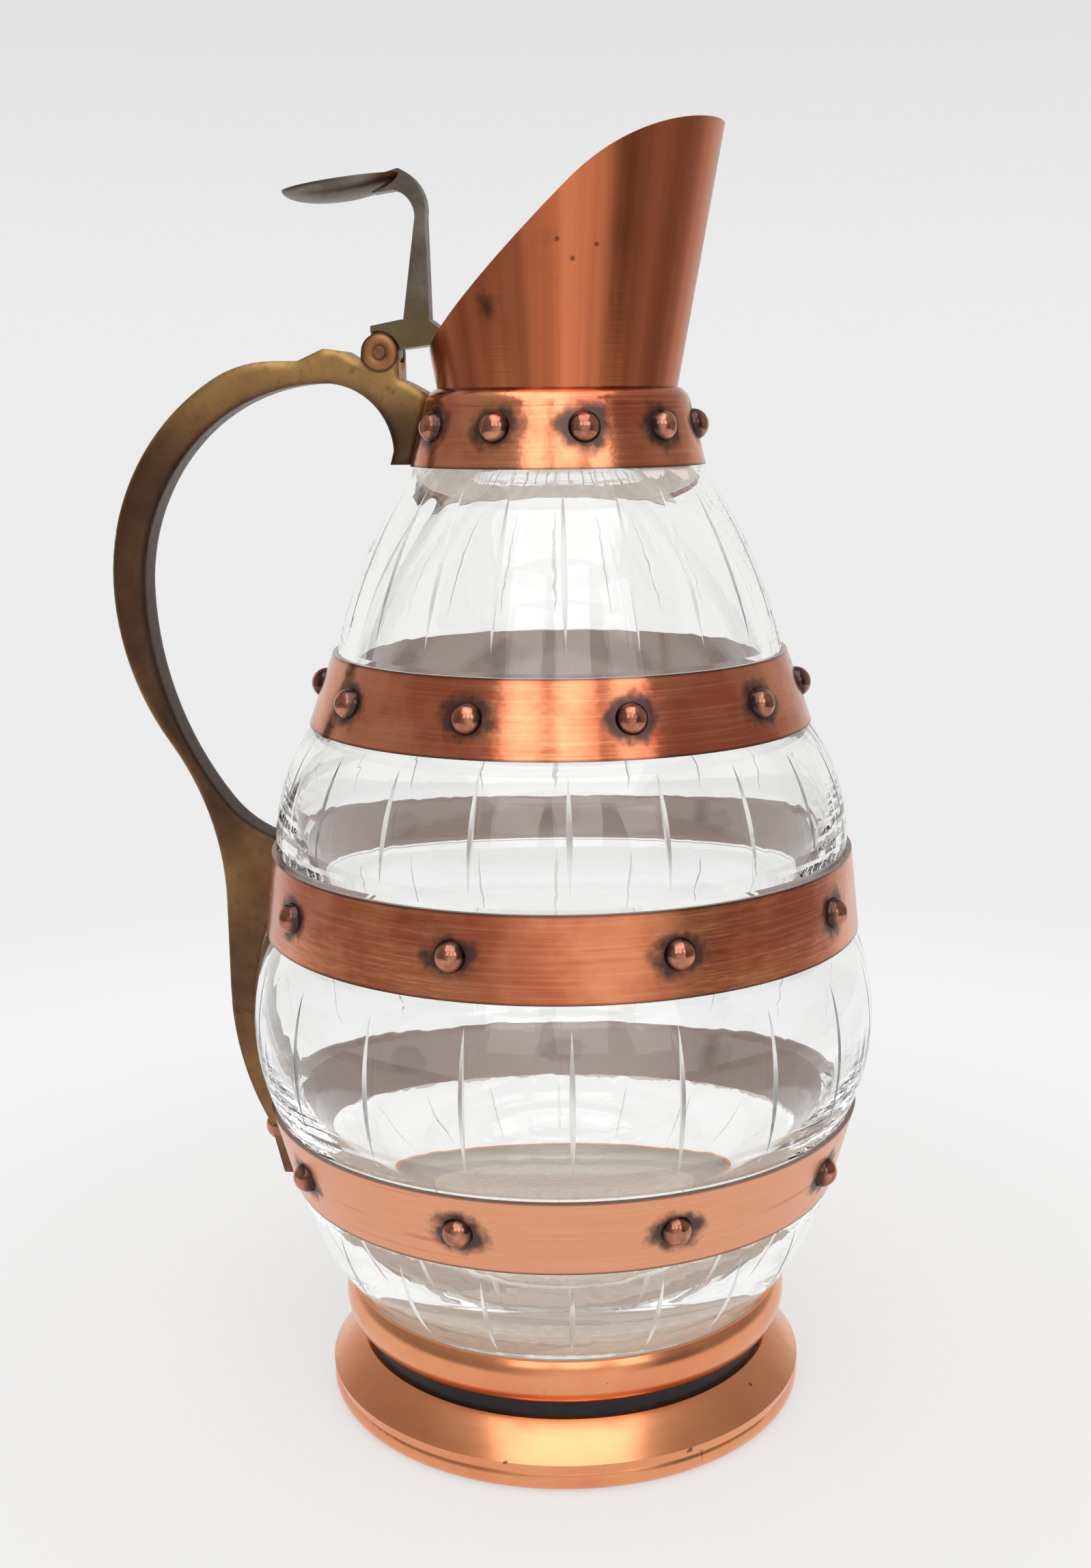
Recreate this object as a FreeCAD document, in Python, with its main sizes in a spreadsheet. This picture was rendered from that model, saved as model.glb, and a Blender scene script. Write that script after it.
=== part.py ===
import FreeCAD
import Part
import math
import os
import Sketcher

# A banded glass jug with a copper foot, hoops, collar and scoop spout, a cast
# brass handle, and a hinged lid that is lifted with a thumb lever.
# Millimetres. The origin is the centre of the face it stands on, +Z is up,
# +X points out of the spout and the handle is on the -X side.

SIZES = {
    # Foot
    "foot_rest_radius": 50.4,
    "foot_rest_inner_radius": 44.0,
    "foot_bead_radius": 2.9,
    "foot_bead_top_radius": 52.7,
    "foot_bead_height": 4.4,
    "foot_flange_radius": 53.2,
    "foot_flange_z": 6.6,
    "foot_flange_bulge": 0.25,
    "foot_top_radius": 46.2,
    "foot_top_inner_radius": 34.0,
    "foot_height": 13.0,
    "foot_sheet": 1.2,
    "waist_radius": 45.2,
    "waist_inner_radius": 38.0,
    "waist_height": 3.2,
    "cup_floor_radius": 45.4,
    "cup_rim_radius": 48.4,
    "cup_depth": 10.8,
    "cup_curve_radius": 7.2,
    "cup_sheet": 1.0,
    "cup_bed": 1.0,
    # Glass
    "glass_wall": 4.6,
    "glass_floor": 11.0,
    "glass_bottom_radius": 38.0,
    "glass_cup_gap": 0.5,
    "glass_inner_floor_radius": 26.0,
    "neck_radius": 23.5,
    "neck_bore_radius": 18.5,
    "neck_straight": 8.5,
    "bottom_bulge": 2.3,
    "belly_bulge": 4.3,
    "waist_bulge": 2.5,
    "shoulder_bulge": 2.2,
    "inner_shoulder_bulge": 4.0,
    "inner_waist_bulge": 4.3,
    "inner_belly_bulge": 6.4,
    "inner_floor_bulge": 5.0,
    # Mitre cuts in the glass
    "cut_count": 20,
    "cut_depth": 0.55,
    "cut_half_angle": 48.0,
    "cut_end_share": 0.1,
    # Hoops round the glass
    "band_sheet": 0.9,
    "band_gap": 0.1,
    "lower_band_bottom": 52.2,
    "lower_band_width": 16.9,
    "lower_band_bottom_radius": 60.4,
    "lower_band_top_radius": 65.0,
    "middle_band_bottom": 108.6,
    "middle_band_width": 17.1,
    "middle_band_bottom_radius": 64.7,
    "middle_band_top_radius": 62.9,
    "upper_band_bottom": 153.1,
    "upper_band_width": 15.1,
    "upper_band_bottom_radius": 53.8,
    "upper_band_top_radius": 48.4,
    # Domed studs
    "stud_ball_radius": 3.3,
    "stud_proud": 2.7,
    "body_stud_count": 9,
    "body_stud_turn": 178.0,
    "upper_stud_count": 10,
    "upper_stud_turn": 5.0,
    "collar_stud_count": 10,
    "collar_stud_turn": 180.0,
    "collar_stud_rise": 8.2,
    # Collar and spout
    "collar_bottom": 206.8,
    "collar_bottom_radius": 31.1,
    "collar_shoulder": 219.0,
    "collar_shoulder_radius": 27.9,
    "collar_curve_radius": 4.2,
    "collar_top": 222.5,
    "collar_top_radius": 25.5,
    "collar_sheet": 0.9,
    "collar_mouth_radius": 19.5,
    "collar_bed": 0.6,
    "spout_base_radius": 25.1,
    "spout_flare": 10.2,
    "spout_height": 53.0,
    "spout_sheet": 0.9,
    "spout_flange_radius": 20.5,
    "rim_slope": 43.3,
    "rim_bend_x": 6.6,
    "rim_bend_z": 261.0,
    "rim_curve_radius": 51.4,
    # Hinge
    "pin_x": 36.9,
    "pin_z": 230.2,
    "pin_radius": 1.3,
    "pin_clearance": 0.05,
    "knuckle_radius": 3.9,
    "knuckle_width": 3.4,
    "knuckle_side_gap": 0.3,
    "knuckle_round_gap": 0.5,
    "ear_thickness": 2.2,
    "ear_foot_z": 224.5,
    "pin_proud": 0.4,
    # Handle, outer face
    "handle_width": 8.4,
    "handle_edge_round": 1.0,
    "handle_crown_x": 60.6,
    "handle_crown_z": 228.7,
    "handle_crown_radius": 25.2,
    "handle_crown_angle": 121.8,
    "handle_back_radius": 50.7,
    "handle_turn_radius": 61.5,
    "handle_sway_radius": 62.4,
    # Handle, top of the arm and the stop behind the hinge
    "arm_root_z": 219.6,
    "arm_bend_x": 31.1,
    "arm_bend_z": 223.8,
    "arm_neck_x": 36.0,
    "arm_neck_z": 225.9,
    "valley_x": 41.6,
    "valley_z": 228.6,
    "stop_front_x": 44.8,
    "stop_front_z": 230.5,
    "stop_x": 49.0,
    "stop_z": 231.1,
    "stop_end_x": 54.5,
    # Handle, inner face
    "arch_z": 224.0,
    "arch_radius": 39.8,
    "arch_angle": 136.0,
    "inner_back_radius": 45.7,
    "inner_turn_radius": 76.0,
    "inner_lean": 38.0,
    "web_radius": 24.0,
    "palm_x": 34.5,
    "palm_lip": 0.6,
    "palm_foot_z": 207.0,
    "palm_curve_radius": 14.8,
    # Handle, tail
    "tail_wall": 6.2,
    "tail_bend_z": 90.0,
    "tail_foot_z": 58.5,
    "tail_foot_wall": 4.9,
    "tail_lift": 2.2,
    "tail_tip_z": 46.0,
    "tail_tip_wall": 2.0,
    "tail_tip_width": 5.6,
    "tail_taper_z": 84.0,
    "tail_stud_z": 56.6,
    "tail_stud_radius": 3.6,
    "tail_stud_depth": 1.4,
    # Lid
    "lid_drop": 1.7,
    "lid_depth": 1.4,
    "lid_gap": 0.8,
    # Thumb lever
    "leaf_width": 8.0,
    "leaf_rear_x": 38.7,
    "leaf_rear_top": 235.6,
    "leaf_rear_floor": 234.0,
    "leaf_heel_x": 32.8,
    "leaf_heel_z": 230.8,
    "leaf_floor": 232.0,
    "leaf_top": 236.8,
    "leaf_crest": 235.0,
    "tongue_tip_x": 8.0,
    "tongue_width": 7.0,
    "tongue_depth": 1.5,
    "stem_width": 4.0,
    "stem_front_x": 26.5,
    "stem_rear_x": 32.2,
    "stem_root_z": 236.0,
    "stem_neck_front_x": 27.0,
    "stem_neck_rear_x": 29.2,
    "stem_bend_z": 257.5,
    "stem_bend_radius": 9.0,
    "stem_inner_radius": 5.5,
    "stem_top_x": 32.5,
    "stem_top_z": 267.2,
    "stem_under_x": 33.6,
    "stem_under_z": 262.9,
    "stem_end_x": 38.0,
    "stem_end_top": 265.7,
    "stem_end_under": 262.3,
    "pad_half_length": 12.9,
    "pad_half_width": 7.6,
    "pad_bowl": 3.9,
    "pad_sheet": 1.4,
    "pad_x": 44.8,
    "pad_z": 264.9,
    "pad_tilt": 7.0,
    "rivet_radius": 1.0,
    "rivet_head_radius": 1.9,
    "rivet_head_depth": 0.7,
    "rivet_pitch": 6.5,
}


class Size:
    """A length or angle that carries its number and its spreadsheet formula."""

    def __init__(self, value, text):
        self.value = float(value)
        self.text = text

    def __add__(self, other):
        return Size(self.value + number(other), f"({self.text} + {formula(other)})")

    def __sub__(self, other):
        return Size(self.value - number(other), f"({self.text} - {formula(other)})")

    def __mul__(self, other):
        return Size(self.value * number(other), f"({self.text} * {formula(other)})")

    def __truediv__(self, other):
        return Size(self.value / number(other), f"({self.text} / {formula(other)})")

    def __neg__(self):
        return Size(-self.value, f"(-{self.text})")


def number(x):
    return x.value if isinstance(x, Size) else float(x)


def formula(x):
    return x.text if isinstance(x, Size) else repr(float(x))


def cos_of(angle):
    return Size(math.cos(math.radians(angle.value)), f"cos({angle.text} * 1 deg)")


def sin_of(angle):
    return Size(math.sin(math.radians(angle.value)), f"sin({angle.text} * 1 deg)")


def tan_of(angle):
    return Size(math.tan(math.radians(angle.value)), f"tan({angle.text} * 1 deg)")


def root(x):
    return Size(math.sqrt(x.value), f"sqrt({x.text})")


doc = FreeCAD.newDocument("banded_jug")
sheet = doc.addObject("Spreadsheet::Sheet", "Sizes")
for row, (alias, value) in enumerate(SIZES.items(), start=1):
    sheet.set(f"A{row}", alias)
    sheet.set(f"B{row}", str(value))
    sheet.setAlias(f"B{row}", alias)
doc.recompute()


class Sheet:
    """Every size of the sheet as an attribute."""

    def __getattr__(self, alias):
        return Size(sheet.get(alias), f"Sizes.{alias}")


s = Sheet()
ZERO = Size(0.0, "0")
NODES = []


def keep(obj, label):
    obj.Label = label
    NODES.append(obj)
    return obj


def bind(obj, **sizes):
    """Tie an object's properties to sizes of the sheet."""
    for name, size in sizes.items():
        obj.setExpression(name, formula(size))


def place(obj, x=ZERO, y=ZERO, z=ZERO):
    for axis, size in (("x", x), ("y", y), ("z", z)):
        obj.setExpression(f"Placement.Base.{axis}", formula(size))


def arc_radius(a, b, bulge):
    """Radius of the arc from a to b that stands out from its chord by bulge."""
    dx = a[0] - b[0]
    dz = a[1] - b[1]
    chord_squared = dx * dx + dz * dz
    return chord_squared / (bulge * 8.0) + bulge / 2.0


# Sketches


def new_body(name):
    return doc.addObject("PartDesign::Body", name)


def origin_plane(body, role):
    return next(f for f in body.Origin.OriginFeatures if f.Role == role)


def arc_between(start, end, radius):
    """Arc from start to end. A positive radius turns left on the way, a negative one right."""
    chord = end - start
    half = chord.Length / 2.0
    side = 1.0 if radius > 0 else -1.0
    left = FreeCAD.Vector(-chord.y, chord.x, 0).normalize()
    sagitta = abs(radius) - math.sqrt(radius**2 - half**2)
    middle = (start + end) * 0.5 - left * (side * sagitta)
    return Part.Arc(start, middle, end)


def draw(body, name, plane, corners):
    """A closed, fully constrained outline. A corner's third value bends the edge that follows."""
    sketch = body.newObject("Sketcher::SketchObject", name)
    sketch.AttachmentSupport = [(origin_plane(body, plane), "")]
    sketch.MapMode = "FlatFace"
    count = len(corners)
    ends = []
    for i, corner in enumerate(corners):
        after = corners[(i + 1) % count]
        start = FreeCAD.Vector(corner[0].value, corner[1].value, 0)
        end = FreeCAD.Vector(after[0].value, after[1].value, 0)
        if len(corner) == 3:
            sketch.addGeometry(arc_between(start, end, corner[2].value), False)
            ends.append((1, 2) if corner[2].value > 0 else (2, 1))
        else:
            sketch.addGeometry(Part.LineSegment(start, end), False)
            ends.append((1, 2))
    for i in range(count):
        after = (i + 1) % count
        sketch.addConstraint(Sketcher.Constraint("Coincident", i, ends[i][1], after, ends[after][0]))
    for i, corner in enumerate(corners):
        locate(sketch, i, ends[i][0], corner)
        if len(corner) == 3:
            size = corner[2] if corner[2].value > 0 else -corner[2]
            datum = sketch.addConstraint(Sketcher.Constraint("Radius", i, size.value))
            sketch.setExpression(f"Constraints[{datum}]", size.text)
    return sketch


def locate(sketch, edge, end, corner):
    """Hold one corner at its two coordinates."""
    for kind, axis, size in (("DistanceX", -2, corner[0]), ("DistanceY", -1, corner[1])):
        if size is ZERO:
            sketch.addConstraint(Sketcher.Constraint("PointOnObject", edge, end, axis))
        else:
            datum = sketch.addConstraint(Sketcher.Constraint(kind, -1, 1, edge, end, size.value))
            sketch.setExpression(f"Constraints[{datum}]", size.text)


def revolve(body, name, corners, kind="PartDesign::Revolution"):
    sketch = draw(body, name + "_outline", "XZ_Plane", corners)
    feature = body.newObject(kind, name)
    feature.Profile = sketch
    feature.ReferenceAxis = (sketch, ["V_Axis"])
    feature.Angle = 360
    doc.recompute()
    return feature


def turned(label, corners):
    """A piece turned about the jug's axis."""
    body = new_body(label)
    revolve(body, label + "_turned", corners)
    return keep(body, label)


def pad(body, name, corners, width, plane="XZ_Plane"):
    """Add an outline to a body, half its width to each side."""
    feature = body.newObject("PartDesign::Pad", name)
    feature.Profile = draw(body, name + "_outline", plane, corners)
    feature.SideType = "Symmetric"
    bind(feature, Length=width)
    doc.recompute()
    return feature


def pocket(body, name, corners, width, plane="XZ_Plane"):
    """Cut an outline out of a body, half its width to each side, and see that it cuts."""
    before = body.Shape.Volume
    feature = body.newObject("PartDesign::Pocket", name)
    feature.Profile = draw(body, name + "_outline", plane, corners)
    feature.SideType = "Symmetric"
    bind(feature, Length=width)
    doc.recompute()
    if not feature.Shape.Volume < before:
        raise RuntimeError(name + " cuts nothing")
    return feature


def groove(body, name, corners):
    """Cut a turned outline out of a body, and see that it cuts."""
    before = body.Shape.Volume
    feature = revolve(body, name, corners, "PartDesign::Groove")
    if not feature.Shape.Volume < before:
        raise RuntimeError(name + " cuts nothing")
    return feature


def cylinder(name, radius, length, x, z):
    """A cylinder along Y, centred on the handle's plane."""
    obj = doc.addObject("Part::Cylinder", name)
    bind(obj, Radius=radius, Height=length)
    place(obj, x, length / 2.0, z)
    obj.Placement.Rotation = FreeCAD.Rotation(FreeCAD.Vector(1, 0, 0), 90)
    return obj


def cut(name, base, tool):
    obj = doc.addObject("Part::Cut", name)
    obj.Base = base
    obj.Tool = tool
    doc.recompute()
    return obj


# Foot

cup_floor_z = s.foot_height + s.waist_height
cup_rim_z = cup_floor_z + s.cup_depth
glass_bottom_z = cup_floor_z + s.cup_sheet + s.cup_bed


def foot_base():
    """A rounded bead to stand on, and above it a flange that curves in to the top."""
    sheet_top = s.foot_height - s.foot_sheet
    flange = (s.foot_flange_radius, s.foot_flange_z)
    top = (s.foot_top_radius, s.foot_height)
    curve = arc_radius(flange, top, s.foot_flange_bulge)
    return turned("foot_base", [
        (s.foot_rest_inner_radius, ZERO),
        (s.foot_rest_radius, ZERO, s.foot_bead_radius),
        (s.foot_bead_top_radius, s.foot_bead_height),
        (*flange, curve),
        top,
        (s.foot_top_inner_radius, s.foot_height),
        (s.foot_top_inner_radius, sheet_top),
        (s.foot_top_radius - s.foot_sheet / 2.0, sheet_top, -(curve - s.foot_sheet)),
        (s.foot_flange_radius - s.foot_sheet, s.foot_flange_z),
        (s.foot_bead_top_radius - s.foot_sheet, s.foot_bead_height),
        (s.foot_rest_radius - s.foot_sheet / 2.0, s.foot_sheet),
        (s.foot_rest_inner_radius, s.foot_sheet),
    ])


def foot_waist_ring():
    top = s.foot_height + s.waist_height
    return turned("foot_waist_ring", [
        (s.waist_inner_radius, s.foot_height),
        (s.waist_radius, s.foot_height),
        (s.waist_radius, top),
        (s.waist_inner_radius, top),
    ])


def foot_cup():
    inner_rim = s.cup_rim_radius - s.cup_sheet
    inner_floor = cup_floor_z + s.cup_sheet
    return turned("foot_cup", [
        (ZERO, cup_floor_z),
        (s.cup_floor_radius, cup_floor_z, s.cup_curve_radius),
        (s.cup_rim_radius, cup_rim_z),
        (inner_rim, cup_rim_z, -(s.cup_curve_radius - s.cup_sheet)),
        (s.cup_floor_radius - s.cup_sheet / 2.0, inner_floor),
        (ZERO, inner_floor),
    ])


def foot_cement():
    """The bed of plaster under the glass."""
    bed_floor = cup_floor_z + s.cup_sheet
    edge = s.glass_bottom_radius
    return turned("foot_cement", [
        (ZERO, bed_floor),
        (edge, bed_floor),
        (edge, glass_bottom_z),
        (ZERO, glass_bottom_z),
    ])


# Glass

# Each hoop's outer face, from its lower to its upper edge, and the glass seat behind it.
lower_face = (
    (s.lower_band_bottom_radius, s.lower_band_bottom),
    (s.lower_band_top_radius, s.lower_band_bottom + s.lower_band_width),
)
middle_face = (
    (s.middle_band_bottom_radius, s.middle_band_bottom),
    (s.middle_band_top_radius, s.middle_band_bottom + s.middle_band_width),
)
upper_face = (
    (s.upper_band_bottom_radius, s.upper_band_bottom),
    (s.upper_band_top_radius, s.upper_band_bottom + s.upper_band_width),
)


def seat(face):
    """The stretch of glass that a hoop sits on."""
    return [(radius - s.band_sheet - s.band_gap, z) for radius, z in face]


glass_cup = (s.cup_rim_radius - s.cup_sheet - s.glass_cup_gap, cup_rim_z)
lower_seat = seat(lower_face)
middle_seat = seat(middle_face)
upper_seat = seat(upper_face)
neck_top = s.collar_top - s.collar_sheet - s.collar_bed
neck_root = neck_top - s.neck_straight
glass_shoulder = (s.collar_bottom_radius - s.collar_sheet - s.band_gap, s.collar_bottom)

# The four stretches of bare glass, each from its lower to its upper end.
STRETCHES = (
    (glass_cup, lower_seat[0], s.bottom_bulge),
    (lower_seat[1], middle_seat[0], s.belly_bulge),
    (middle_seat[1], upper_seat[0], s.waist_bulge),
    (upper_seat[1], glass_shoulder, s.shoulder_bulge),
)


def inside(end):
    """The point of the inner wall level with an end of a seat."""
    radius, z = end
    return (radius - s.glass_wall, z)


def glass_outline():
    outline = [(ZERO, glass_bottom_z), (s.glass_bottom_radius, glass_bottom_z)]
    for low, high, bulge in STRETCHES:
        outline.append((*low, arc_radius(low, high, bulge)))
        outline.append(high)
    outline.append((s.neck_radius, neck_root))
    outline.append((s.neck_radius, neck_top))
    outline.append((s.neck_bore_radius, neck_top))
    inner_floor = (s.glass_inner_floor_radius, glass_bottom_z + s.glass_floor)
    inner_stretches = (
        ((s.neck_bore_radius, glass_shoulder[1]), inside(upper_seat[1]), s.inner_shoulder_bulge),
        (inside(upper_seat[0]), inside(middle_seat[1]), s.inner_waist_bulge),
        (inside(middle_seat[0]), inside(lower_seat[1]), s.inner_belly_bulge),
        (inside(lower_seat[0]), inner_floor, s.inner_floor_bulge),
    )
    for start, end, bulge in inner_stretches:
        outline.append((*start, -arc_radius(start, end, bulge)))
        outline.append(end)
    outline.append((ZERO, inner_floor[1]))
    return outline


def mitre_cutter(low, high, bulge):
    """A V-edged ring section that follows one stretch of glass and runs out at both ends."""
    start = FreeCAD.Vector(low[0].value, 0, low[1].value)
    end = FreeCAD.Vector(high[0].value, 0, high[1].value)
    glass_radius = arc_radius(low, high, bulge).value
    depth = s.cut_depth.value
    half = (end - start).Length * (0.5 - s.cut_end_share.value)
    along = (end - start).normalize()
    outward = FreeCAD.Vector(along.z, 0, -along.x)
    tip_radius = 1.0 / (1.0 / glass_radius - 2.0 * depth / half**2)
    tip = (start + end) * 0.5 + outward * (bulge.value - depth)
    centre = tip - outward * tip_radius
    rise = 3.0 * depth
    spread = rise * math.tan(math.radians(s.cut_half_angle.value))
    base = tip + outward * rise
    side = FreeCAD.Vector(0, spread, 0)
    wedge = Part.Face(Part.makePolygon([tip, base + side, base - side, tip]))
    sweep = math.degrees(1.2 * half / tip_radius)
    across = FreeCAD.Vector(0, 1, 0)
    wedge.rotate(centre, across, -sweep)
    return wedge.revolve(centre, across, 2.0 * sweep)


def glass_body():
    blank = new_body("glass_blank")
    revolve(blank, "glass_turned", glass_outline())
    cutters = []
    count = int(s.cut_count.value)
    for low, high, bulge in STRETCHES:
        cutter = mitre_cutter(low, high, bulge)
        for i in range(count):
            turn = cutter.copy()
            turn.rotate(FreeCAD.Vector(0, 0, 0), FreeCAD.Vector(0, 0, 1), (i + 0.5) * 360.0 / count)
            cutters.append(turn)
    wheel = doc.addObject("Part::Feature", "mitre_cuts")
    wheel.Shape = Part.makeCompound(cutters)
    return keep(cut("glass_cut", blank, wheel), "glass_body")


# Hoops and studs


def band(label, bottom, top):
    """A conical hoop between two circles of its outer face."""
    return turned(label, [
        (bottom[0] - s.band_sheet, bottom[1]),
        bottom,
        top,
        (top[0] - s.band_sheet, top[1]),
    ])


def studs(label, bottom, top, rise, count, first_angle, skipped):
    """Domes on a conical face, rise above its lower edge, evenly spaced, the first skipped ones left out."""
    low = FreeCAD.Vector(bottom[0].value, 0, bottom[1].value)
    high = FreeCAD.Vector(top[0].value, 0, top[1].value)
    along = (high - low).normalize()
    outward = FreeCAD.Vector(along.z, 0, -along.x)
    share = rise.value / (high.z - low.z)
    centre = low + (high - low) * share + outward * (s.stud_proud.value - s.stud_ball_radius.value)
    balls = []
    for i in range(skipped, int(count.value)):
        ball = Part.makeSphere(s.stud_ball_radius.value, centre)
        turn = first_angle.value + i * 360.0 / count.value
        ball.rotate(FreeCAD.Vector(0, 0, 0), FreeCAD.Vector(0, 0, 1), turn)
        balls.append(ball)
    ring = doc.addObject("Part::Feature", label + "_balls")
    ring.Shape = Part.makeCompound(balls)
    seat = doc.addObject("Part::Cone", label + "_seat")
    bind(seat, Radius1=bottom[0], Radius2=top[0], Height=top[1] - bottom[1])
    place(seat, z=bottom[1])
    return keep(cut(label + "_seated", ring, seat), label)


# Collar and spout

collar_foot = (s.collar_bottom_radius, s.collar_bottom)
collar_shoulder = (s.collar_shoulder_radius, s.collar_shoulder)
collar_under_top = s.collar_top - s.collar_sheet


def neck_collar():
    inner_top = s.collar_top_radius - s.collar_sheet / 2.0
    inner_shoulder = (s.collar_shoulder_radius - s.collar_sheet, s.collar_shoulder)
    return turned("neck_collar", [
        collar_foot,
        (*collar_shoulder, s.collar_curve_radius),
        (s.collar_top_radius, s.collar_top),
        (s.collar_mouth_radius, s.collar_top),
        (s.collar_mouth_radius, collar_under_top),
        (inner_top, collar_under_top, -(s.collar_curve_radius - s.collar_sheet)),
        inner_shoulder,
        (s.collar_bottom_radius - s.collar_sheet, s.collar_bottom),
    ])


def collar_cement():
    """Plaster between the collar and the glass neck."""
    inner_top = s.collar_top_radius - s.collar_sheet / 2.0
    inner_shoulder = (s.collar_shoulder_radius - s.collar_sheet, s.collar_shoulder)
    return turned("collar_cement", [
        glass_shoulder,
        (s.collar_bottom_radius - s.collar_sheet, s.collar_bottom),
        (*inner_shoulder, s.collar_curve_radius - s.collar_sheet),
        (inner_top, collar_under_top),
        (s.collar_mouth_radius, collar_under_top),
        (s.collar_mouth_radius, neck_top),
        (s.neck_radius, neck_top),
        (s.neck_radius, neck_root),
    ])


def rim_z(x, drop=ZERO):
    """Height of the straight part of the rim at x."""
    return s.rim_bend_z - drop + (x - s.rim_bend_x) * tan_of(s.rim_slope)


def rim_curve(drop, far_x, near_x):
    """The rim seen from the side: a straight slope up to the bend, then an arc to the lip."""
    centre_x = s.rim_bend_x + s.rim_curve_radius * sin_of(s.rim_slope)
    centre_z = s.rim_bend_z - s.rim_curve_radius * cos_of(s.rim_slope) - drop
    reach = far_x - centre_x
    far_z = centre_z + root(s.rim_curve_radius * s.rim_curve_radius - reach * reach)
    return (near_x, rim_z(near_x, drop)), (s.rim_bend_x, s.rim_bend_z - drop), (far_x, far_z)


spout_top = s.collar_top + s.spout_height
spout_top_radius = s.spout_base_radius + s.spout_height * tan_of(s.spout_flare)


def spout():
    body = new_body("spout")
    flange_top = s.collar_top + s.spout_sheet
    inner_base = s.spout_base_radius - s.spout_sheet + s.spout_sheet * tan_of(s.spout_flare)
    revolve(body, "spout_cone", [
        (s.spout_flange_radius, s.collar_top),
        (s.spout_base_radius, s.collar_top),
        (spout_top_radius, spout_top),
        (spout_top_radius - s.spout_sheet, spout_top),
        (inner_base, flange_top),
        (s.spout_flange_radius, flange_top),
    ])
    outside = spout_top_radius + s.spout_sheet
    above = spout_top + s.spout_sheet
    low, bend, far = rim_curve(ZERO, outside, -outside)
    pocket(body, "scoop", [
        low,
        (*bend, -s.rim_curve_radius),
        far,
        (outside, above),
        (-outside, above),
    ], outside * 2.0)
    return keep(body, "spout")


# Lid

lid_under = s.lid_drop + s.lid_depth


def lid_blank():
    """The lid's curved sheet, trimmed to run clear inside the spout."""
    body = new_body("lid_sheet")
    outside = spout_top_radius
    low, bend, far = rim_curve(s.lid_drop, outside, -outside)
    low_under, bend_under, far_under = rim_curve(lid_under, outside, -outside)
    pad(body, "lid_curve", [
        low_under,
        (*bend_under, -s.rim_curve_radius),
        far_under,
        (*far, s.rim_curve_radius),
        bend,
        low,
    ], outside * 2.0)
    room = s.spout_sheet + s.lid_gap
    cone = doc.addObject("Part::Cone", "lid_cone")
    bind(cone, Radius1=s.spout_base_radius - room, Radius2=spout_top_radius - room, Height=s.spout_height)
    place(cone, z=s.collar_top)
    trimmed = doc.addObject("Part::Common", "lid_trimmed")
    trimmed.Base = body
    trimmed.Tool = cone
    doc.recompute()
    return trimmed


tongue_top = s.lid_drop - s.tongue_depth


def rivet_cylinder(name, radius, length, x, lift):
    """A cylinder square to the lid at x, whose lower end is lift above the lid's underside."""
    obj = doc.addObject("Part::Cylinder", name)
    bind(obj, Radius=radius, Height=length)
    obj.Placement.Rotation = FreeCAD.Rotation(FreeCAD.Vector(0, 1, 0), -s.rim_slope.value)
    place(obj, x - lift * sin_of(s.rim_slope), ZERO, rim_z(x, lid_under) + lift * cos_of(s.rim_slope))
    return obj


def joined(name, shapes):
    obj = doc.addObject("Part::MultiFuse", name)
    obj.Shapes = shapes
    doc.recompute()
    return obj


def lid_rivets():
    """Two rivets that hold the lever's tongue to the lid. Also gives the shanks, which cut the holes."""
    grip = (lid_under - tongue_top) * cos_of(s.rim_slope)
    first = -(s.tongue_tip_x + s.rivet_head_radius * 1.5)
    rivets = []
    shanks = []
    for i, x in enumerate((first, first - s.rivet_pitch)):
        shank = rivet_cylinder(f"rivet_shank_{i}", s.rivet_radius, grip, x, ZERO)
        foot = rivet_cylinder(f"rivet_foot_{i}", s.rivet_head_radius, s.rivet_head_depth, x,
                              -s.rivet_head_depth)
        head = rivet_cylinder(f"rivet_head_{i}", s.rivet_head_radius, s.rivet_head_depth, x, grip)
        rivets.append(joined(f"rivet_{i}", [shank, foot, head]))
        shanks.append(shank)
    pair = doc.addObject("Part::Compound", "rivet_pair")
    pair.Links = rivets
    doc.recompute()
    keep(pair, "lid_rivets")
    return joined("rivet_holes", shanks)


def lid_plate(holes):
    return keep(cut("lid_pierced", lid_blank(), holes), "lid_plate")


# Hinge and thumb lever

pin_x = -s.pin_x
slot_width = s.knuckle_width + s.knuckle_side_gap * 2.0
hinge_width = slot_width + s.ear_thickness * 2.0


def hinge_pin():
    pin = cylinder("pin", s.pin_radius, hinge_width + s.pin_proud * 2.0, pin_x, s.pin_z)
    doc.recompute()
    return keep(pin, "hinge_pin")


def under_pin(radius):
    """The lower half of a circle about the hinge line, from -X to +X."""
    return [(pin_x - radius, s.pin_z, radius), (pin_x, s.pin_z - radius, radius)]


def over_pin(radius):
    """The upper half of a circle about the hinge line, from +X to -X."""
    return [(pin_x + radius, s.pin_z, radius), (pin_x, s.pin_z + radius, radius)]


def around_pin(radius):
    return under_pin(radius) + over_pin(radius)


def thumb_pad():
    """The spoon-shaped pad: the lower half of one ellipsoid less a smaller one."""
    bowls = []
    for name, trim in (("pad_outside", ZERO), ("pad_inside", s.pad_sheet)):
        bowl = doc.addObject("Part::Ellipsoid", name)
        bind(bowl, Radius1=s.pad_bowl - trim)
        bind(bowl, Radius2=s.pad_half_length - trim, Radius3=s.pad_half_width - trim)
        bowl.Placement.Rotation = FreeCAD.Rotation(FreeCAD.Vector(0, 1, 0), -s.pad_tilt.value)
        place(bowl, -s.pad_x, ZERO, s.pad_z)
        bowls.append(bowl)
    bowls[0].Angle1 = -90
    bowls[0].Angle2 = 0
    return cut("pad_bowl", *bowls)


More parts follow.
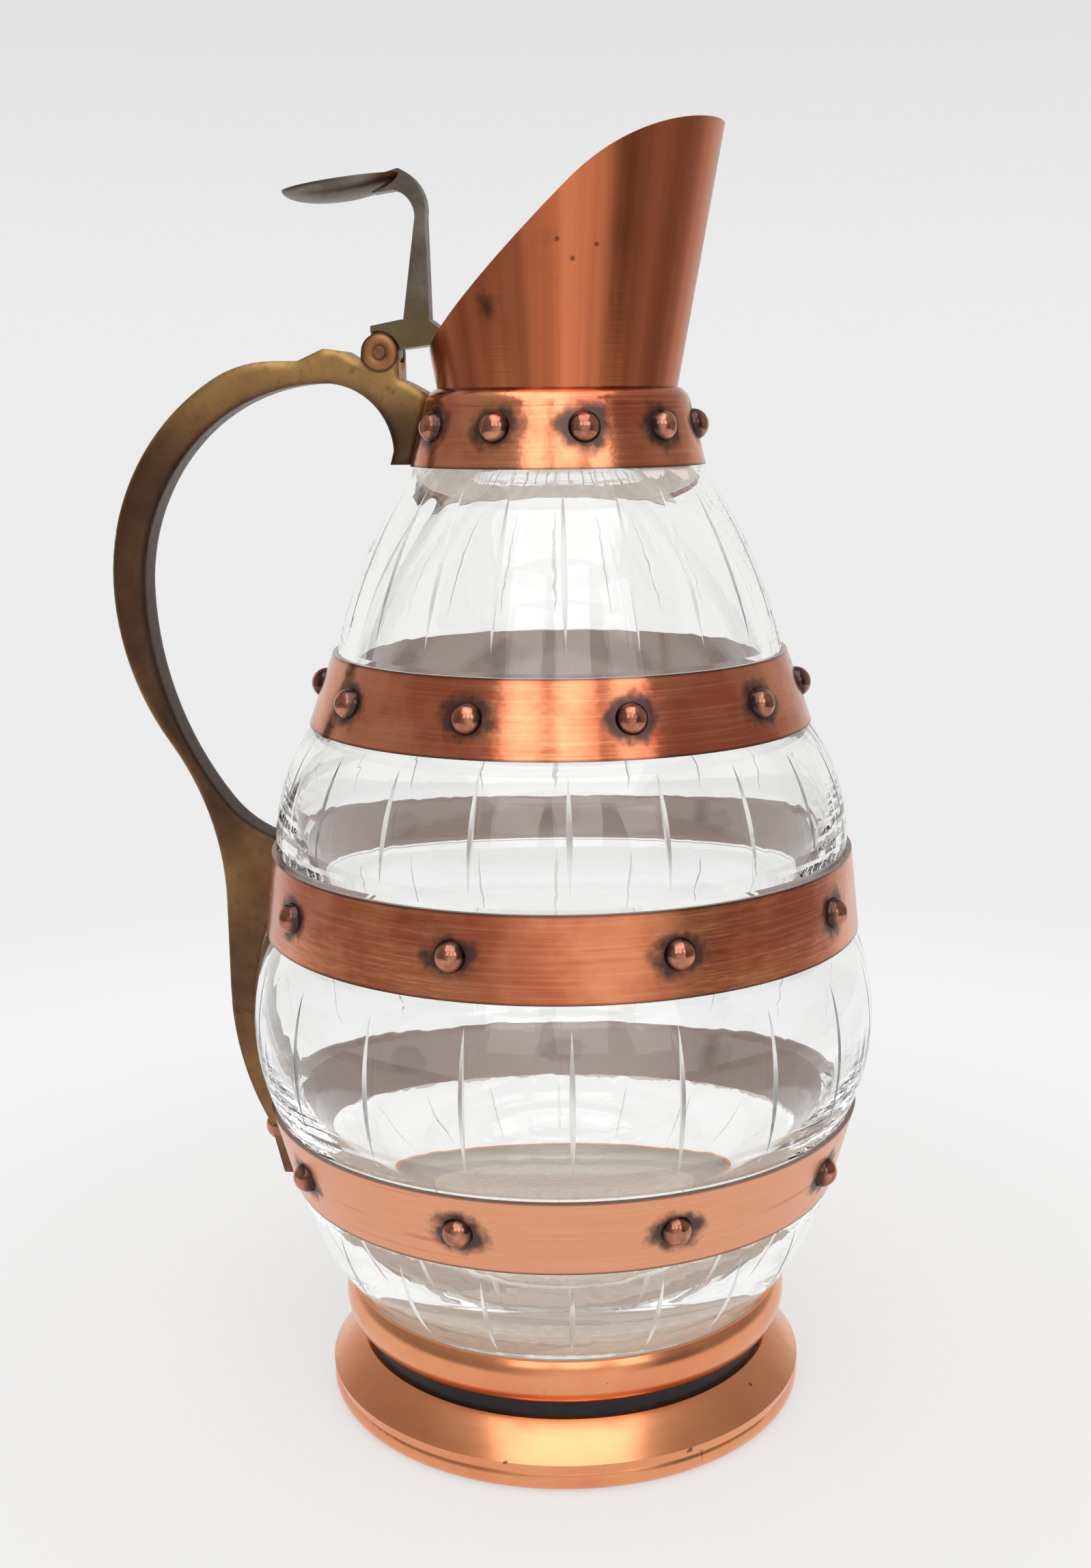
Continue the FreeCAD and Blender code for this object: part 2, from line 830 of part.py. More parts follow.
def thumb_lever(holes):
    body = new_body("lever")
    lid_meet = s.rim_bend_x - (s.rim_bend_z - s.lid_drop - s.leaf_floor) / tan_of(s.rim_slope)
    tongue_root = s.leaf_floor + s.tongue_depth
    pad(body, "leaf", [
        (-s.leaf_rear_x, s.leaf_rear_floor),
        (-s.leaf_heel_x, s.leaf_heel_z),
        (lid_meet, s.leaf_floor),
        (lid_meet, tongue_root),
        (-s.stem_front_x, s.leaf_top),
        (-s.stem_rear_x, s.leaf_top),
        (-s.leaf_rear_x, s.leaf_rear_top),
    ], s.leaf_width)
    ear_room = hinge_width + s.leaf_width
    pocket(body, "ear_room", around_pin(s.knuckle_radius + s.knuckle_round_gap), ear_room)
    pad(body, "knuckle", [
        *under_pin(s.knuckle_radius),
        (pin_x + s.knuckle_radius, s.pin_z),
        (pin_x + s.knuckle_radius, s.leaf_crest),
        (-s.leaf_rear_x, s.leaf_crest),
    ], s.knuckle_width)
    pad(body, "tongue", [
        (lid_meet, s.leaf_floor),
        (-s.tongue_tip_x, rim_z(-s.tongue_tip_x, s.lid_drop)),
        (-s.tongue_tip_x, rim_z(-s.tongue_tip_x, tongue_top)),
        (lid_meet, tongue_root),
    ], s.tongue_width)
    pad(body, "stem", [
        (-s.stem_rear_x, s.stem_root_z),
        (-s.stem_front_x, s.stem_root_z),
        (-s.stem_neck_front_x, s.stem_bend_z, s.stem_bend_radius),
        (-s.stem_top_x, s.stem_top_z),
        (-s.stem_end_x, s.stem_end_top),
        (-s.stem_end_x, s.stem_end_under),
        (-s.stem_under_x, s.stem_under_z, -s.stem_inner_radius),
        (-s.stem_neck_rear_x, s.stem_bend_z),
    ], s.stem_width)
    pocket(body, "pin_bore", around_pin(s.pin_radius + s.pin_clearance), hinge_width)
    whole = joined("lever_and_pad", [body, thumb_pad()])
    return keep(cut("lever_pierced", whole, holes), "thumb_lever")


# Handle


def polar(centre, radius, angle):
    return (centre[0] + radius * cos_of(angle), centre[1] + radius * sin_of(angle))


# The tail stands on the belly between the two lower hoops and thins out over the lowest one.
belly_radius = (s.lower_band_top_radius + s.middle_band_bottom_radius) / 2.0 + s.belly_bulge
tail_x = belly_radius + s.tail_wall
tail_under_x = s.lower_band_bottom_radius + s.tail_lift
tail_foot_x = tail_under_x + s.tail_foot_wall
tail_tip_x = tail_under_x + s.tail_tip_wall


def outer_face():
    """From the crown over the back and down to the tail's tip."""
    crown_r = s.handle_crown_radius
    back_r = s.handle_back_radius
    turn_r = s.handle_turn_radius
    sway_r = s.handle_sway_radius
    crown = (-s.handle_crown_x, s.handle_crown_z - crown_r)
    back = polar(crown, crown_r - back_r, s.handle_crown_angle)
    back_x = back[0] - back_r
    # The turn and the sway are two arcs that meet on one slope between the back and the tail.
    lean_cos = (turn_r + sway_r + back_x + tail_x) / (turn_r + sway_r)
    lean_sin = root((lean_cos * lean_cos - 1.0) * -1.0)
    tail_in = tail_x - tail_foot_x
    tail_drop = s.tail_bend_z - s.tail_foot_z
    tail_r = (tail_in * tail_in + tail_drop * tail_drop) / (tail_in * 2.0)
    return [
        (-s.handle_crown_x, s.handle_crown_z, crown_r),
        (*polar(crown, crown_r, s.handle_crown_angle), back_r),
        (back_x, back[1], turn_r),
        (back_x + turn_r - turn_r * lean_cos, back[1] - turn_r * lean_sin, -sway_r),
        (-tail_x, back[1] - (turn_r + sway_r) * lean_sin),
        (-tail_x, s.tail_bend_z, tail_r),
        (-tail_foot_x, s.tail_foot_z),
        (-tail_tip_x, s.tail_tip_z),
    ]


def inner_face():
    """From inside the body up along the grip to the foot of the palm plate."""
    arch_x = -s.palm_x - s.palm_curve_radius
    arch = (arch_x, s.arch_z - s.arch_radius)
    back = polar(arch, s.arch_radius - s.inner_back_radius, s.arch_angle)
    back_x = back[0] - s.inner_back_radius
    turn = (back_x + s.inner_turn_radius, back[1])
    turn_end = polar(turn, s.inner_turn_radius, s.inner_lean + 180.0)
    web = polar(turn_end, s.web_radius, s.inner_lean)
    web_foot_z = web[1] - s.web_radius
    hidden_x = s.tail_wall - s.lower_band_bottom_radius
    return [
        (hidden_x, s.tail_tip_z),
        (hidden_x, web_foot_z),
        (web[0], web_foot_z, -s.web_radius),
        (*turn_end, -s.inner_turn_radius),
        (back_x, back[1], -s.inner_back_radius),
        (*polar(arch, s.arch_radius, s.arch_angle), -s.arch_radius),
        (arch_x, s.arch_z, -s.palm_curve_radius),
        (-s.palm_x, s.arch_z - s.palm_curve_radius),
        (-s.palm_x - s.palm_lip, s.palm_foot_z),
    ]


def handle_outline():
    """Side view: along the top of the arm, down the outer face to the tail, and back inside."""
    return [
        (-s.neck_radius, s.arm_root_z),
        (-s.arm_bend_x, s.arm_bend_z),
        (-s.arm_neck_x, s.arm_neck_z),
        (-s.valley_x, s.valley_z),
        (-s.stop_front_x, s.stop_front_z),
        (-s.stop_x, s.stop_z),
        (-s.stop_end_x, s.handle_crown_z),
        *outer_face(),
        *inner_face(),
        (-s.neck_radius, s.palm_foot_z),
    ]


def round_edges(body, feature):
    """Round the curved edges of the handle's two side faces, and the straight ones they run into."""
    side = s.handle_width.value / 2.0
    names = []
    for i, edge in enumerate(feature.Shape.Edges, start=1):
        box = edge.BoundBox
        on_side = box.YLength < 1e-6 and abs(abs(box.YMin) - side) < 1e-6
        if on_side and edge.Curve.TypeId == "Part::GeomCircle":
            names.append(f"Edge{i}")
    rounding = body.newObject("PartDesign::Fillet", "edge_rounding")
    rounding.Base = (feature, names)
    bind(rounding, Radius=s.handle_edge_round)
    doc.recompute()


def handle():
    body = new_body("handle")
    strap = pad(body, "strap", handle_outline(), s.handle_width)
    round_edges(body, strap)
    pad(body, "ears", [
        (pin_x - s.knuckle_radius - s.knuckle_round_gap, s.ear_foot_z),
        (pin_x + s.knuckle_radius, s.ear_foot_z),
        *over_pin(s.knuckle_radius),
        (pin_x - s.knuckle_radius, s.pin_z),
    ], hinge_width)
    slot_radius = s.knuckle_radius + s.knuckle_round_gap
    slot_top = s.pin_z + slot_radius * 2.0
    pocket(body, "knuckle_slot", [
        *under_pin(slot_radius),
        (pin_x + slot_radius, s.pin_z),
        (pin_x + slot_radius, slot_top),
        (pin_x - slot_radius, slot_top),
    ], slot_width)
    pocket(body, "pin_hole", around_pin(s.pin_radius), hinge_width)
    half = s.handle_width / 2.0
    tip = s.tail_tip_width / 2.0
    for name, side in (("taper_left", 1.0), ("taper_right", -1.0)):
        pocket(body, name, [
            (tip * side, s.tail_tip_z - tip),
            (half * side, s.tail_taper_z),
            (half * (2.0 * side), s.tail_taper_z),
            (half * (2.0 * side), s.tail_tip_z - tip),
        ], tail_x * 4.0, "YZ_Plane")
    belly_low = lower_face[1]
    belly_high, hoop_top = middle_face
    above = hoop_top[1] + half
    below = s.tail_tip_z - half
    groove(body, "body_seat", [
        (ZERO, below),
        (tail_under_x, below),
        (tail_under_x, s.lower_band_bottom),
        (*belly_low, arc_radius(belly_low, belly_high, s.belly_bulge)),
        belly_high,
        hoop_top,
        (hoop_top[0], above),
        (ZERO, above),
    ])
    groove(body, "collar_seat", [
        (ZERO, s.collar_bottom),
        collar_foot,
        (*collar_shoulder, s.collar_curve_radius),
        (s.collar_top_radius, s.collar_top),
        (ZERO, s.collar_top),
    ])
    return keep(body, "handle")


def tail_rivet(casting):
    """The domed stud on the straight end of the handle's tail."""
    ball = doc.addObject("Part::Sphere", "tail_ball")
    bind(ball, Radius=s.tail_stud_radius)
    share = (s.tail_foot_z - s.tail_stud_z) / (s.tail_foot_z - s.tail_tip_z)
    face_x = (tail_foot_x - tail_tip_x) * share - tail_foot_x
    place(ball, face_x + s.tail_stud_depth, ZERO, s.tail_stud_z)
    core = doc.addObject("Part::Cylinder", "tail_core")
    bind(core, Radius=tail_tip_x, Height=s.tail_bend_z)
    return keep(cut("tail_dome", cut("tail_stud", ball, core), casting), "tail_rivet")


def build():
    foot_base()
    foot_waist_ring()
    foot_cup()
    foot_cement()
    glass_body()
    band("lower_band", *lower_face)
    band("middle_band", *middle_face)
    band("upper_band", *upper_face)
    body_ring = (s.body_stud_count, s.body_stud_turn, 1)
    upper_ring = (s.upper_stud_count, s.upper_stud_turn, 0)
    collar_ring = (s.collar_stud_count, s.collar_stud_turn, 1)
    studs("lower_band_studs", *lower_face, s.lower_band_width / 2.0, *body_ring)
    studs("middle_band_studs", *middle_face, s.middle_band_width / 2.0, *body_ring)
    studs("upper_band_studs", *upper_face, s.upper_band_width / 2.0, *upper_ring)
    neck_collar()
    collar_cement()
    studs("collar_studs", collar_foot, collar_shoulder, s.collar_stud_rise, *collar_ring)
    spout()
    holes = lid_rivets()
    lid_plate(holes)
    thumb_lever(holes)
    hinge_pin()
    tail_rivet(handle())


def check():
    """Every object is sound and every node is one or more valid solids."""
    doc.recompute()
    for obj in doc.Objects:
        if {"Invalid", "Error"} & set(obj.State):
            raise RuntimeError(f"{obj.Label}: {obj.State}")
    for node in NODES:
        if node.Shape.isNull() or not node.Shape.isValid() or not node.Shape.Solids:
            raise RuntimeError(f"{node.Label} has no valid solid")


build()
check()
os.makedirs("parts", exist_ok=True)
for node in NODES:
    node.Shape.exportStep(f"parts/{node.Label}.step")
    print(node.Label, len(node.Shape.Solids), round(node.Shape.Volume))
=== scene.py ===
import math

import bpy
from mathutils import Matrix, Vector, noise


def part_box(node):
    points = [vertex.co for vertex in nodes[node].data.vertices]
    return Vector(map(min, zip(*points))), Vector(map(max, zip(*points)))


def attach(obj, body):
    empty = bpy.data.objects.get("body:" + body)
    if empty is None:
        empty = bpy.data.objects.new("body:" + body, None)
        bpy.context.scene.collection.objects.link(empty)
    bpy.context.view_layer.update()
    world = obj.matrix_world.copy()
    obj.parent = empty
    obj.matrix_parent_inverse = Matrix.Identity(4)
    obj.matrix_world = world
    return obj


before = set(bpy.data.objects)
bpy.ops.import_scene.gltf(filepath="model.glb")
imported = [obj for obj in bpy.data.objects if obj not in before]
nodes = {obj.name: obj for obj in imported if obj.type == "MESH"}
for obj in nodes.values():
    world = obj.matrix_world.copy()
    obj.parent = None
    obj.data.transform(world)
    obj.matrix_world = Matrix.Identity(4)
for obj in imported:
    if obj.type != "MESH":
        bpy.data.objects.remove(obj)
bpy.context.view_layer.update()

MM = 0.001

# Camera, as the photograph was taken
IMAGE_HEIGHT = 2296
FOCAL_PIXELS = 2749.0
SENSOR_HEIGHT = 36.0
CAMERA_TURN = math.radians(8.0)
CAMERA_PITCH = math.radians(11.53)
CAMERA_ROLL = math.radians(-0.58)
CAMERA_SIDE = -3.3 * MM
CAMERA_DISTANCE = 401.2 * MM
CAMERA_HEIGHT = 219.9 * MM

# Rings of studs: how many and the angle of the first
BODY_STUDS = (9, math.radians(178.0))
UPPER_STUDS = (10, math.radians(5.0))
COLLAR_STUDS = (10, math.radians(180.0))
STUD_RADIUS = 3.2 * MM
HALO_RADIUS = 5.7 * MM

# Dark spots on the spout, each by its angle and height
SPOUT_SPOTS = ((-82.2, 250.2), (-67.5, 249.2), (-76.4, 246.6))
SPOUT_SPOT_RADIUS = 0.5 * MM
SPOUT_SMUDGE = (-112.0, 238.0)
SPOUT_SMUDGE_RADIUS = 7.5 * MM

# The inside of the foot's cup, under the glass
CUP_RADIUS = 46.0 * MM
CUP_FLOOR_Z = 16.2 * MM

# The hinge, and the round face of the handle's ears about it
HINGE_X = -36.9 * MM
HINGE_Z = 230.2 * MM
EAR_RADIUS = 3.9 * MM

# The handle: the middle of the grip, from which its painted light and shade are measured, how far its edges
# look rounded by wear, and where it changes tone
GRIP_X = -66.0 * MM
GRIP_Z = 180.0 * MM
HANDLE_ROUND = 2.6 * MM
CROWN_RISE = (200.0 * MM, 228.0 * MM)
TAIL_FALL = (150.0 * MM, 110.0 * MM)
ROOT_REACH = (-44.0 * MM, -34.0 * MM)
ROOT_FALL = (226.0 * MM, 214.0 * MM)

# The thumb lever: where its foot ends and its pad begins
LEVER_FOOT_FALL = (246.0 * MM, 234.0 * MM)
PAD_RISE = (258.0 * MM, 263.0 * MM)

# Linear colours
COPPER = (0.80, 0.29, 0.135, 1.0)
COPPER_DEEP = (0.56, 0.135, 0.06, 1.0)
COPPER_PALE = (0.93, 0.50, 0.31, 1.0)
COPPER_DULL = (0.80, 0.35, 0.195, 1.0)
COPPER_BACK = (0.45, 0.335, 0.305, 1.0)
FOOT_GOLD = (0.86, 0.36, 0.165, 1.0)
FOOT_PLASTER = (0.72, 0.67, 0.61, 1.0)
STUD_PINK = (0.60, 0.27, 0.18, 1.0)
STUD_DEEP = (0.36, 0.14, 0.09, 1.0)
SPOUT_LIGHT = (0.70, 0.215, 0.095, 1.0)
SPOUT_DEEP = (0.50, 0.14, 0.062, 1.0)
LID_DEEP = (0.28, 0.10, 0.055, 1.0)
SPOT_BROWN = (0.14, 0.04, 0.022, 1.0)
# Near-black, for tarnish on the spout and foot, for the darkening round the studs, and for painted shade at
# the hoops' edges and the studs' feet
TARNISH_AND_SHADE = (0.035, 0.03, 0.033, 1.0)
BRASS = (0.45, 0.27, 0.105, 1.0)
EAR_BROWN = (0.34, 0.145, 0.065, 1.0)
BRASS_BROWN = (0.17, 0.085, 0.045, 1.0)
BRASS_DARK = (0.06, 0.037, 0.026, 1.0)
LEVER_GREY = (0.21, 0.19, 0.165, 1.0)
LEVER_FOOT = (0.17, 0.115, 0.05, 1.0)
LEVER_BROWN = (0.11, 0.088, 0.07, 1.0)
LEVER_DARK = (0.035, 0.031, 0.03, 1.0)
GLASS_TINT = (0.985, 0.99, 0.985, 1.0)
RING_BLACK = (0.008, 0.008, 0.010, 1.0)
RING_GREY = (0.035, 0.035, 0.04, 1.0)
PIN_BROWN = (0.42, 0.20, 0.09, 1.0)
PLASTER_DEEP = (0.55, 0.47, 0.40, 1.0)
PLASTER_PALE = (0.82, 0.76, 0.70, 1.0)
FLOOR_GREY = (0.86, 0.86, 0.86, 1.0)
BACKDROP = (0.84, 0.84, 0.838, 1.0)
BACKDROP_TOP = (0.73, 0.735, 0.735, 1.0)
BACKLIGHT = (0.93, 0.93, 0.925, 1.0)
TABLE = (0.91, 0.91, 0.91, 1.0)

# How much clear lacquer lies over the copper of hoops and foot, and how rough it is
LACQUER = 0.35
LACQUER_ROUGHNESS = 0.12

GLASS_BOUNCES = 24

# The room the metal mirrors: brightness by the angle from the camera's side, right positive
ROOM = (
    (-180, 0.85), (-135, 0.70), (-108, 0.36), (-75, 0.28), (-48, 0.28), (-28, 0.44), (-5, 0.88),
    (27, 0.95), (39, 0.55), (46, 0.14), (60, 0.15), (72, 0.30), (105, 0.28), (135, 0.60), (180, 0.85),
)
ROOM_TINT = (1.0, 0.96, 0.92)
UPPER_ROOM = (0.40, 0.38, 0.36, 1.0)
UPPER_ROOM_RISE = (0.08, 0.4)
UPPER_ROOM_SHARE = 0.7
CEILING = (0.62, 0.60, 0.58, 1.0)
CEILING_RISE = (0.6, 0.95)
BACKDROP_RISE = (0.0, 0.3)

# The table: its size, how far it reaches towards the camera, the distances over which it fades
# into the backdrop and glows by itself, and the least it glows
FLOOR_SIZE = 1.1
FLOOR_FRONT = 0.42
FLOOR_FADE = (0.25, 0.55)
FLOOR_GLOW = (0.05, 0.3)
FLOOR_LEAST_GLOW = 0.6

# Lamps: three panes of a window on the camera's side, and a ceiling
LAMP_TARGET_Z = 0.13
PANE_SIDES = (-0.38, 0.13, 0.74)
PANE_NEAR = 1.1
PANE_Z = 0.80
PANE_SIZE = (0.40, 0.62)
PANE_POWER = 1.35
CEILING_LAMP_NEAR = 0.4
CEILING_LAMP_Z = 1.35
CEILING_LAMP_SIZE = (1.3, 1.2)
CEILING_LAMP_POWER = 8.0

# Ragged smears of plaster on the glass: the node they hang under, their first and last angle
# in degrees, and how far they reach down in millimetres
SMEARS = (("neck_collar", -52.0, -22.0, 2.6), ("lower_band", -180.0, 180.0, 1.3))
SMEAR_STEP = 0.6
SMEAR_DEPTH = 0.12 * MM


class Graph:
    """Small steps for building a node tree."""

    def __init__(self, tree):
        self.tree = tree

    def feed(self, socket, value):
        if isinstance(value, bpy.types.NodeSocket):
            self.tree.links.new(value, socket)
        else:
            socket.default_value = value

    def add(self, kind, inputs, **settings):
        node = self.tree.nodes.new("ShaderNode" + kind)
        for name, value in settings.items():
            setattr(node, name, value)
        for name, value in inputs.items():
            self.feed(node.inputs[name], value)
        return node

    def math(self, operation, *values):
        return self.add("Math", dict(enumerate(values)), operation=operation).outputs[0]

    def plus(self, a, b):
        return self.math("ADD", a, b)

    def times(self, a, b):
        return self.math("MULTIPLY", a, b)

    def minus(self, a, b):
        return self.math("SUBTRACT", a, b)

    def length(self, a, b):
        return self.math("SQRT", self.plus(self.times(a, a), self.times(b, b)))

    def smooth(self, value, low, high):
        """Rises smoothly from 0 at low to 1 at high."""
        inputs = {"Value": value, "From Min": low, "From Max": high}
        return self.add("MapRange", inputs, interpolation_type="SMOOTHSTEP").outputs["Result"]

    def mix(self, factor, a, b):
        return self.add("Mix", {0: factor, 6: a, 7: b}, data_type="RGBA").outputs[2]

    def vector(self, x=0.0, y=0.0, z=0.0):
        return self.add("CombineXYZ", {0: x, 1: y, 2: z}).outputs[0]

    def dot(self, a, b):
        return self.add("VectorMath", {0: a, 1: b}, operation="DOT_PRODUCT").outputs["Value"]

    def noise(self, vector, scale=1.0, detail=3.0, roughness=0.55):
        inputs = {"Vector": vector, "Scale": scale, "Detail": detail, "Roughness": roughness}
        return self.add("TexNoise", inputs).outputs["Fac"]


class Shader(Graph):
    """A material, built from small steps that feed its principled shader."""

    def __init__(self, name, **values):
        self.material = bpy.data.materials.new(name)
        self.material.use_nodes = True
        super().__init__(self.material.node_tree)
        self.surface = self.tree.nodes["Principled BSDF"]
        self.set(**values)
        place = self.add("TexCoord", {}).outputs
        self.point = place["Object"]
        self.x, self.y, self.z = self.add("SeparateXYZ", {0: self.point}).outputs
        self.nx, self.ny, self.nz = self.add("SeparateXYZ", {0: place["Normal"]}).outputs
        self.radius = self.length(self.x, self.y)
        self.angle = self.math("ARCTAN2", self.y, self.x)

    def set(self, **values):
        for name, value in values.items():
            self.feed(self.surface.inputs[name.replace("_", " ")], value)

    def cover(self, tone, mask, share, colour):
        """Lay a colour over the tone where the mask is."""
        return self.mix(self.times(mask, share), tone, colour)

    def bump(self, height, strength, distance, normal=None):
        node = self.add("Bump", {"Height": height, "Strength": strength, "Distance": distance})
        if normal:
            self.feed(node.inputs["Normal"], normal)
        self.feed(self.surface.inputs["Normal"], node.outputs[0])

    def rounded(self, radius):
        """The surface normal, turned near an edge as if the edge were rounded."""
        return self.add("Bevel", {"Radius": radius}, samples=6).outputs[0]

    def brushed(self, length, width):
        """Fine lines that run round the jug."""
        along = self.math("DIVIDE", self.times(self.angle, self.radius), length)
        across = self.math("DIVIDE", self.z, width)
        return self.noise(self.vector(along, across), detail=4.0, roughness=0.6)

    def upright(self, share, rise):
        """Soft stripes that run up the jug, share of them to a radian."""
        return self.noise(self.vector(self.times(self.angle, share), self.times(self.z, rise)), detail=4.0)

    def outward(self):
        """Above 0 where the surface looks away from the axis, below 0 where it looks towards it."""
        return self.plus(self.times(self.nx, self.x), self.times(self.ny, self.y))

    def sideways(self):
        """How far the surface is turned to one side of straight out."""
        turn = self.minus(self.times(self.ny, self.x), self.times(self.nx, self.y))
        return self.math("ABSOLUTE", self.math("DIVIDE", turn, self.radius))

    def from_spot(self, angle, height):
        """Distance along the surface from a spot at this angle in radians and height."""
        across = self.times(self.minus(self.angle, angle), self.radius)
        return self.length(across, self.minus(self.z, height))

    def from_stud(self, ring, height, squeeze):
        """Distance from the middle of the nearest stud, with the sideways part squeezed."""
        count, first = ring
        step = 2.0 * math.pi / count
        off = self.math("FLOORED_MODULO", self.minus(self.angle, first - step / 2.0), step)
        across = self.times(self.minus(off, step / 2.0), self.times(self.radius, squeeze))
        return self.length(across, self.minus(self.z, height))


def clear_glass():
    """Clear glass, ground rough in the mitre cuts."""
    shader = Shader("clear_glass", Base_Color=GLASS_TINT, IOR=1.46)
    shader.set(Transmission_Weight=1.0)
    ground = shader.smooth(shader.sideways(), 0.12, 0.3)
    grain = shader.noise(shader.point, scale=900.0, detail=2.0)
    shader.set(Roughness=shader.times(ground, shader.plus(shader.times(grain, 0.2), 0.28)))
    return shader.material


def hoop_copper(name, node, ring, studs, bright, deep, dull):
    """Satin copper with brush lines, blotches, darkening round the studs, painted shade along the top and
    bottom edges and a dull inner face.
    """
    low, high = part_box(node)
    shader = Shader(name, Metallic=1.0, Coat_Weight=LACQUER, Coat_Roughness=LACQUER_ROUGHNESS)
    lines = shader.brushed(length=34.0 * MM, width=0.7 * MM)
    streaks = shader.brushed(length=50.0 * MM, width=1.9 * MM)
    blotch = shader.noise(shader.point, scale=48.0, detail=4.0)
    tone = shader.mix(shader.smooth(blotch, 0.36, 0.62), deep, bright)
    tone = shader.cover(tone, shader.smooth(lines, 0.45, 0.75), 0.3, COPPER_PALE)
    tone = shader.cover(tone, shader.smooth(streaks, 0.60, 0.72), 0.55, COPPER_DEEP)
    # Darker round each stud, out to the halo's radius, with a ragged edge.
    distance = shader.from_stud(ring, middle(studs), 0.75)
    ragged = shader.times(shader.minus(shader.noise(shader.point, scale=300.0, detail=3.0), 0.5), 5.0 * MM)
    halo = shader.smooth(shader.plus(distance, ragged), HALO_RADIUS, HALO_RADIUS * 0.5)
    tone = shader.cover(tone, halo, 0.9, TARNISH_AND_SHADE)
    # Painted shade along the top and bottom edges, where the hoop meets the glass.
    edge = shader.smooth(shader.math("ABSOLUTE", shader.minus(shader.z, (low.z + high.z) / 2.0)),
                         (high.z - low.z) / 2.0 - 0.7 * MM, (high.z - low.z) / 2.0 - 0.1 * MM)
    tone = shader.cover(tone, edge, 0.75, TARNISH_AND_SHADE)
    inner = shader.smooth(shader.outward(), 0.0, -0.01)
    tone = shader.mix(inner, tone, COPPER_BACK)
    rough = shader.plus(shader.times(lines, 0.16), dull)
    rough = shader.plus(rough, shader.times(shader.plus(inner, halo), 0.25))
    shader.set(Base_Color=tone, Roughness=rough)
    wave = shader.vector(shader.times(shader.angle, 9.0), shader.times(shader.z, 420.0))
    ripple = shader.noise(wave, detail=2.0)
    shader.bump(shader.plus(shader.times(lines, 0.3), ripple), strength=0.16, distance=0.5 * MM)
    return shader.material


def stud_copper(name, ring=None, studs=None):
    """Polished domes, with painted shade where they meet the hoop."""
    shader = Shader(name, Metallic=1.0)
    blotch = shader.noise(shader.point, scale=380.0, detail=3.0)
    tone = shader.mix(shader.smooth(blotch, 0.35, 0.7), STUD_DEEP, STUD_PINK)
    rough = shader.plus(shader.times(blotch, 0.2), 0.05)
    if ring:
        distance = shader.plus(shader.from_stud(ring, middle(studs), 1.0), shader.times(blotch, 0.8 * MM))
        # Painted shade round the foot of each dome, where it meets the hoop.
        rim_shade = shader.smooth(distance, STUD_RADIUS * 0.82, STUD_RADIUS * 1.08)
        tone = shader.cover(tone, rim_shade, 0.9, TARNISH_AND_SHADE)
    shader.set(Base_Color=tone, Roughness=rough)
    return shader.material


def spout_copper():
    """Polished sheet with soft upright stripes of painted reflection, a smudge and a few dark spots."""
    shader = Shader("copper_spout", Metallic=1.0)
    # Light and dark upright stripes: painted reflection of the room. The same pattern also makes a faint
    # bump.
    stripes = shader.upright(share=4.5, rise=3.0)
    blotch = shader.noise(shader.point, scale=42.0, detail=5.0)
    tone = shader.mix(shader.smooth(stripes, 0.34, 0.66), SPOUT_DEEP, SPOUT_LIGHT)
    tone = shader.cover(tone, shader.smooth(blotch, 0.58, 0.74), 0.45, TARNISH_AND_SHADE)
    for angle, height in SPOUT_SPOTS:
        spot = shader.from_spot(math.radians(angle), height * MM)
        mask = shader.smooth(spot, SPOUT_SPOT_RADIUS * 1.4, SPOUT_SPOT_RADIUS * 0.5)
        tone = shader.cover(tone, mask, 0.8, SPOT_BROWN)
    angle, height = SPOUT_SMUDGE
    ragged = shader.times(shader.noise(shader.point, scale=260.0, detail=4.0), SPOUT_SMUDGE_RADIUS)
    smudge = shader.plus(shader.from_spot(math.radians(angle), height * MM), ragged)
    dark = shader.smooth(smudge, SPOUT_SMUDGE_RADIUS, SPOUT_SMUDGE_RADIUS * 0.4)
    tone = shader.cover(tone, dark, 0.8, TARNISH_AND_SHADE)
    inner = shader.smooth(shader.outward(), 0.0, -0.005)
    tone = shader.cover(tone, inner, 0.5, COPPER_BACK)
    shader.set(Base_Color=tone, Roughness=shader.plus(shader.times(blotch, 0.2), 0.13))
    lines = shader.brushed(length=40.0 * MM, width=0.6 * MM)
    shader.bump(shader.plus(lines, stripes), strength=0.05, distance=0.4 * MM)
    return shader.material


def lid_copper():
    """Dull sheet, brushed from front to back."""
    shader = Shader("copper_lid", Metallic=1.0)
    brush = shader.vector(shader.times(shader.x, 25.0), shader.times(shader.y, 800.0))
    lines = shader.noise(brush, detail=4.0, roughness=0.6)
    blotch = shader.noise(shader.point, scale=60.0, detail=4.0)
    tone = shader.mix(shader.smooth(blotch, 0.35, 0.68), LID_DEEP, SPOUT_DEEP)
    tone = shader.cover(tone, shader.smooth(lines, 0.5, 0.75), 0.3, SPOUT_LIGHT)
    shader.set(Base_Color=tone, Roughness=shader.plus(shader.times(lines, 0.2), 0.2))
    shader.bump(lines, strength=0.08, distance=0.2 * MM)
    return shader.material


